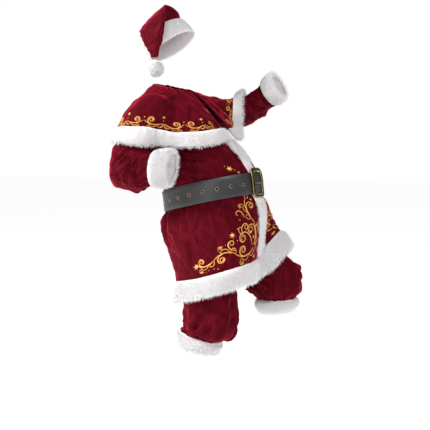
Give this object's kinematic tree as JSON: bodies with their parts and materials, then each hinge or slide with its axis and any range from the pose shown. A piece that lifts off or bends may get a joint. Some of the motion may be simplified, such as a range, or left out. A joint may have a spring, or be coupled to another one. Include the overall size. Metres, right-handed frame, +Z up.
{
  "type": "santa suit",
  "caption": "Velvet santa suit in a worn pose: hat with pompom, shoulder cape, belted jacket and knee-length trousers, edged with white plush and hollow inside.",
  "frame": {"origin": "middle of the base of the neck, where the suit hangs on its wearer", "axes": "+Z up along the standing wearer; the front faces -Y and the wearer's right side is -X"},
  "size_m": [0.771, 0.7457, 1.4527],
  "materials": {
    "crimson_velvet": "crushed velvet",
    "white_plush": "long-pile plush",
    "black_vinyl": "soft gloss faux leather",
    "antique_brass": "antiqued",
    "copper_gold": "satin"
  },
  "bodies": {
    "root": {"belt_buckle": "antique_brass", "belt_eyelet_01": "copper_gold", "belt_eyelet_02": "copper_gold", "belt_eyelet_03": "copper_gold", "belt_eyelet_04": "copper_gold", "belt_eyelet_05": "copper_gold", "belt_eyelet_06": "copper_gold", "belt_eyelet_07": "copper_gold", "belt_eyelet_08": "copper_gold", "belt_eyelet_09": "copper_gold", "belt_eyelet_10": "copper_gold", "belt_eyelet_11": "copper_gold", "belt_prong": "antique_brass", "belt_strap": "black_vinyl", "cape": "crimson_velvet", "cape_fur": "white_plush", "cuff_left": "white_plush", "cuff_right": "white_plush", "front_placket": "white_plush", "hat_band": "white_plush", "hat_crown": "crimson_velvet", "hat_pompom": "white_plush", "hem_fur": "white_plush", "jacket_back": "crimson_velvet", "jacket_front_left": "crimson_velvet", "jacket_front_right": "crimson_velvet", "knee_cuff_left": "white_plush", "knee_cuff_right": "white_plush", "sleeve_left": "crimson_velvet", "sleeve_right": "crimson_velvet", "trouser_left": "crimson_velvet", "trouser_right": "crimson_velvet", "trouser_waistband": "crimson_velvet"}
  },
  "joints": []
}
